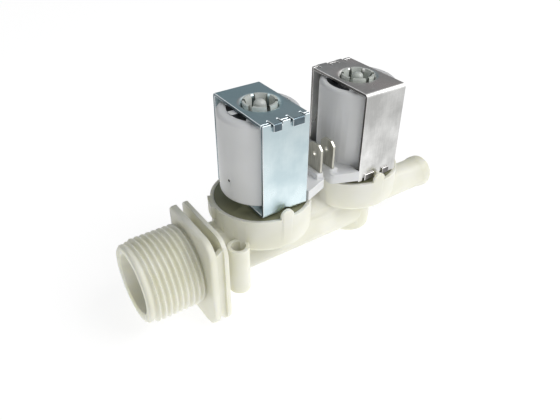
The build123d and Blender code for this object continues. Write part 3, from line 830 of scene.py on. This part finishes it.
class VALVE_OT_stage(bpy.types.Operator):
    """Floor, soft lights and the camera"""

    bl_idname = "valve.stage"
    bl_label = "Stage"

    def execute(self, context):
        settings = context.scene.valve_stage
        make_floor(settings.table_glow)
        make_world(settings.room_light)
        make_key_light(settings.key_size, settings.key_power)
        make_camera()
        return {"FINISHED"}


def make_floor(glow):
    """A plain white table under the valve, which keeps its shadow."""
    mesh = bpy.data.meshes.new("studio_floor")
    corners = [(x * TABLE_HALF, y * TABLE_HALF, CAD_LOW.z) for x, y in ((-1, -1), (1, -1), (1, 1), (-1, 1))]
    mesh.from_pydata(corners, [], [(0, 1, 2, 3)])
    floor = bpy.data.objects.new("studio_floor", mesh)
    bpy.context.scene.collection.objects.link(floor)
    paint(floor, lit_table(glow))


def lit_table(glow):
    """A lit table of white acrylic: it gives soft light from below and shows near white with a faint shadow.

    In what metal mirrors of it, the light falls off away from the valve.
    """
    material, tree, place = empty_material("acrylic_table_white_lit")
    surface = add(tree, "ShaderNodeBsdfDiffuse", {"Color": linear("#EEEEEC")})
    lamp = add(tree, "ShaderNodeEmission", {"Color": (1, 1, 1, 1), "Strength": glow})
    lit = add(tree, "ShaderNodeAddShader", links={0: surface, 1: lamp})
    dim = add(tree, "ShaderNodeBsdfDiffuse", {"Color": [TABLE_SHOWN_SURFACE] * 3 + [1]})
    white = add(tree, "ShaderNodeEmission", {"Color": (1, 1, 1, 1), "Strength": TABLE_SHOWN_LIGHT})
    shown = add(tree, "ShaderNodeAddShader", links={0: dim, 1: white})
    middle = (CAD_LOW + CAD_HIGH) / 2
    away = add(tree, "ShaderNodeVectorMath", {
        "operation": "DISTANCE", 1: (middle.x, middle.y, CAD_LOW.z)}, {0: place})
    mirrored = add(tree, "ShaderNodeEmission", links={
        "Strength": spread(tree, away.outputs["Value"], TABLE_FADE_SPAN, TABLE_FADE_LIGHT)})
    either = seen_or_not(tree, lit, shown, mirrored)
    add(tree, "ShaderNodeOutputMaterial", links={"Surface": either})
    return material


def seen_or_not(tree, soft, shown, mirrored):
    """One shader each for the light that falls on the valve, for what is seen and for what metal mirrors."""
    ray = add(tree, "ShaderNodeLightPath").outputs
    seen = add(tree, "ShaderNodeMath", {"operation": "MAXIMUM"}, {
        0: ray["Is Camera Ray"], 1: ray["Is Transmission Ray"]})
    unseen = add(tree, "ShaderNodeMixShader", links={0: ray["Is Glossy Ray"], 1: soft, 2: mirrored})
    return add(tree, "ShaderNodeMixShader", links={0: seen, 1: unseen, 2: shown})


def make_world(strength):
    """A room that is white to the camera and bright in front, with a grey card that the top plates mirror."""
    world = bpy.data.worlds.new("studio_room")
    bpy.context.scene.world = world
    world.use_nodes = True
    tree = world.node_tree
    tree.nodes.clear()
    direction = add(tree, "ShaderNodeTexCoord").outputs["Generated"]
    nearness = {}
    for target, span in ((DARK_SIDE, DARK_SIDE_SPAN), (GREY_CARD, GREY_CARD_SPAN)):
        toward = add(tree, "ShaderNodeVectorMath", {"operation": "DOT_PRODUCT", 1: target}, {0: direction})
        nearness[target] = spread(tree, toward.outputs["Value"], span)
    across = add(tree, "ShaderNodeSeparateXYZ", links={0: direction}).outputs["X"]
    card = between(tree, spread(tree, across, CARD_HALVES_SPAN), linear("#707F85"), linear("#857F7F"))
    soft = between(tree, nearness[DARK_SIDE], linear("#FFFFFF"), linear("#85898B"))
    sharp = add(tree, "ShaderNodeMix", {"data_type": "RGBA", 6: linear("#FFFFFF")}, {
        0: nearness[GREY_CARD], 7: card})
    light = add(tree, "ShaderNodeBackground", {"Strength": strength}, {"Color": soft})
    mirrored = add(tree, "ShaderNodeBackground", {"Strength": 1.0}, {"Color": sharp.outputs[2]})
    shown = add(tree, "ShaderNodeBackground", {"Color": (1, 1, 1, 1), "Strength": 1.0})
    either = seen_or_not(tree, light, shown, mirrored)
    add(tree, "ShaderNodeOutputWorld", links={"Surface": either})


def make_key_light(size, power):
    """The large square key light, aimed at the valve."""
    data = bpy.data.lights.new("key_light", "AREA")
    data.size = size
    data.energy = power
    light = bpy.data.objects.new("key_light", data)
    aim = Vector(((CAD_LOW.x + CAD_HIGH.x) / 2, 0, KEY_AIM_Z))
    light.location = KEY_PLACE
    light.rotation_mode = "QUATERNION"
    light.rotation_quaternion = (aim - Vector(KEY_PLACE)).to_track_quat("-Z", "Y")
    bpy.context.scene.collection.objects.link(light)


def make_camera():
    """The photograph's view: a near, slightly wide lens from the front left and above."""
    data = bpy.data.cameras.new("studio_camera")
    data.sensor_width = SENSOR_MM
    data.lens = FOCAL_PIXELS * SENSOR_MM / PHOTO_WIDTH
    data.shift_x, data.shift_y = CAMERA_SHIFT
    data.clip_start, data.clip_end = CAMERA_REACH
    camera = bpy.data.objects.new("studio_camera", data)
    azimuth, elevation = math.radians(CAMERA_AZIMUTH), math.radians(CAMERA_ELEVATION)
    back = Vector((
        math.sin(azimuth) * math.cos(elevation),
        -math.cos(azimuth) * math.cos(elevation),
        math.sin(elevation),
    ))
    right = Vector((0, 0, 1)).cross(back).normalized()
    right = Matrix.Rotation(math.radians(CAMERA_ROLL), 3, back) @ right
    up = back.cross(right)
    camera.matrix_world = Matrix((
        (right.x, up.x, back.x, CAMERA_PLACE[0]),
        (right.y, up.y, back.y, CAMERA_PLACE[1]),
        (right.z, up.z, back.z, CAMERA_PLACE[2]),
        (0, 0, 0, 1),
    ))
    bpy.context.scene.collection.objects.link(camera)
    bpy.context.scene.camera = camera


class VALVE_PT_panel(bpy.types.Panel):
    """The valve's operators in the sidebar"""

    bl_idname = "VALVE_PT_panel"
    bl_label = "Solenoid valve"
    bl_space_type = "VIEW_3D"
    bl_region_type = "UI"
    bl_category = "Valve"

    def draw(self, context):
        for operator in OPERATORS:
            self.layout.operator(operator.bl_idname)


OPERATORS = (VALVE_OT_housing, VALVE_OT_actuators, VALVE_OT_windings, VALVE_OT_sheet_metal, VALVE_OT_stage)
SETTINGS = {"valve_finishes": FinishSettings, "valve_pieces": PieceSettings, "valve_stage": StageSettings}
CLASSES = (*SETTINGS.values(), *OPERATORS, VALVE_PT_panel)


def register():
    for cls in CLASSES:
        bpy.utils.register_class(cls)
    for name, group in SETTINGS.items():
        setattr(bpy.types.Scene, name, bpy.props.PointerProperty(type=group))


def unregister():
    for name in SETTINGS:
        delattr(bpy.types.Scene, name)
    for cls in reversed(CLASSES):
        bpy.utils.unregister_class(cls)


def main():
    register()
    scene = bpy.context.scene
    scene.view_settings.view_transform = "Standard"
    materials = {**moulded_finishes(scene.valve_finishes), **metal_finishes(scene.valve_finishes)}
    scene["valve_materials"] = {slot: material.name for slot, material in materials.items()}
    bpy.ops.valve.housing()
    bpy.ops.valve.actuators()
    bpy.ops.valve.windings()
    bpy.ops.valve.sheet_metal()
    bpy.ops.valve.stage()
    bpy.context.view_layer.update()


if __name__ == "__main__":
    main()
